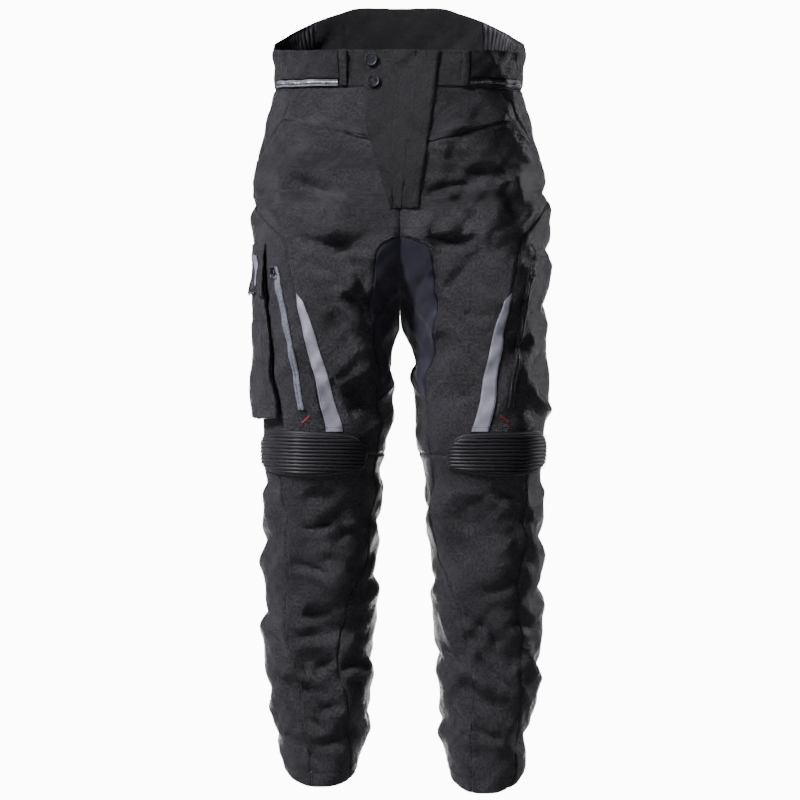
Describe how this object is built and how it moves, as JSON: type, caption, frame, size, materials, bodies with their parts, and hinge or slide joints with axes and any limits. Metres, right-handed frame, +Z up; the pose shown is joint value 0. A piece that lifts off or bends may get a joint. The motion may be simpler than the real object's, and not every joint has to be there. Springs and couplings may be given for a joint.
{
  "type": "motorcycle trousers",
  "caption": "Hollow textile motorcycle trousers with raised back waist, fly flap, ribbed knees, side zips and a cargo pocket.",
  "frame": {"origin": "centre of the waist opening, level with the front waistband's top edge", "axes": "+Z up towards the waist, front towards -Y, the wearer's left leg towards +X"},
  "size_m": [0.4065, 0.2692, 1.0587],
  "materials": {
    "cloth": "matte",
    "stretch": "matte",
    "rib": "satin",
    "lining": "matte",
    "reflective": "satin",
    "zip": "satin",
    "metal": "satin"
  },
  "bodies": {
    "trousers": {"back_band": "cloth", "back_facing": "lining", "back_panel_left": "cloth", "back_panel_right": "cloth", "belt_loop_left": "cloth", "belt_loop_right": "cloth", "calf_back_left": "cloth", "calf_back_right": "cloth", "calf_inner_left": "cloth", "calf_inner_right": "cloth", "calf_outer_left": "cloth", "calf_outer_right": "cloth", "cargo_flap": "cloth", "cargo_pocket": "cloth", "elastic_left": "rib", "elastic_right": "rib", "fly_flap": "cloth", "front_band_left": "cloth", "front_band_right": "cloth", "front_thigh_left": "cloth", "front_thigh_right": "cloth", "front_yoke_left": "cloth", "front_yoke_right": "cloth", "gusset_left": "stretch", "gusset_right": "stretch", "hip_side_left": "cloth", "hip_side_right": "cloth", "knee_panel_left": "rib", "knee_panel_right": "rib", "pocket_zip_left": "zip", "pocket_zip_right": "zip", "reflective_strip_left": "reflective", "reflective_strip_right": "reflective", "shin_left": "cloth", "shin_right": "cloth", "side_panel_left": "cloth", "side_panel_right": "cloth", "side_reflector": "reflective", "slider_left": "metal", "slider_right": "metal", "snap_lower": "metal", "snap_upper": "metal", "waist_tab_left": "cloth", "waist_tab_right": "cloth", "waist_zip_left": "zip", "waist_zip_right": "zip"},
    "right_pull": {"pull_ring_right": "metal"},
    "left_pull": {"pull_ring_left": "metal"}
  },
  "joints": [
    {"name": "right_pull_swing", "type": "hinge", "parent": "trousers", "child": "right_pull", "pos_m": [-0.16961, -0.088, -0.29754], "axis": [-0.6012, 0.7249, -0.3364], "range_deg": [0, 150]},
    {"name": "left_pull_swing", "type": "hinge", "parent": "trousers", "child": "left_pull", "pos_m": [0.17673, -0.08919, -0.29835], "axis": [-0.64, -0.7079, 0.2988], "range_deg": [0, 150]}
  ]
}
